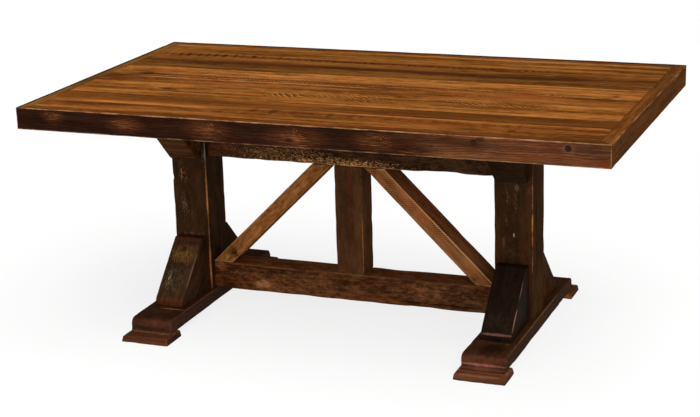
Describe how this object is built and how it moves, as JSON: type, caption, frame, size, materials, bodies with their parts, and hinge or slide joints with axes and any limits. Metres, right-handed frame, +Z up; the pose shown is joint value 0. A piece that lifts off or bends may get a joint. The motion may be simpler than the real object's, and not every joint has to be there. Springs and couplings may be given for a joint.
{
  "type": "trestle dining table",
  "caption": "Rectangular trestle dining table with a planked, mitre-framed top on post pedestals with knee braces and ogee feet, joined by a stretcher and king-post truss.",
  "frame": {"origin": "on the floor under the middle of the table top", "axes": "+X along the top's length to the right end, +Y from the front edge to the rear edge, +Z up"},
  "size_m": [1.829, 1.054, 0.762],
  "materials": {
    "plank_mid": "oiled reclaimed board, mid brown, semi-gloss",
    "plank_dark": "oiled reclaimed board, dark brown, semi-gloss",
    "plank_light": "oiled reclaimed board, honey brown, semi-gloss",
    "edge_wood": "dark red-brown edge board with worn arrises, semi-gloss",
    "base_wood": "near-black brown weathered timber, satin",
    "stretcher_wood": "hewn red-brown timber, satin",
    "rail_wood": "rough-sawn grey-brown timber, satin",
    "diagonal_wood": "golden brown sawn timber, satin",
    "bung_wood": "end-grain wood bung, satin",
    "dowel_wood": "plain turned dowel",
    "under_wood": "plain sawn softwood, matt",
    "screw_steel": "plated steel"
  },
  "bodies": {
    "root": {"batten_screws": "screw_steel", "brace_bungs": "bung_wood", "brace_screws": "screw_steel", "centre_batten": "under_wood", "diagonal_dowels": "dowel_wood", "edge_board_bungs": "bung_wood", "edge_board_screws": "screw_steel", "field_plank_1": "plank_mid", "field_plank_2": "plank_dark", "field_plank_3": "plank_light", "field_plank_4": "plank_mid", "field_plank_5": "plank_light", "field_plank_6": "plank_dark", "field_plank_7": "plank_mid", "field_plank_8": "plank_mid", "front_edge_board": "edge_wood", "king_post": "base_wood", "left_bolster": "under_wood", "left_diagonal": "diagonal_wood", "left_end_batten": "under_wood", "left_end_board": "edge_wood", "left_foot_runner": "base_wood", "left_front_lower_brace": "base_wood", "left_front_pad": "base_wood", "left_front_upper_brace": "base_wood", "left_post": "base_wood", "left_rear_lower_brace": "base_wood", "left_rear_pad": "base_wood", "left_rear_upper_brace": "base_wood", "rear_edge_board": "edge_wood", "right_bolster": "under_wood", "right_diagonal": "diagonal_wood", "right_end_batten": "under_wood", "right_end_board": "edge_wood", "right_foot_runner": "base_wood", "right_front_lower_brace": "base_wood", "right_front_pad": "base_wood", "right_front_upper_brace": "base_wood", "right_post": "base_wood", "right_rear_lower_brace": "base_wood", "right_rear_pad": "base_wood", "right_rear_upper_brace": "base_wood", "runner_bolts": "screw_steel", "stretcher": "stretcher_wood", "top_rail": "rail_wood"}
  },
  "joints": []
}
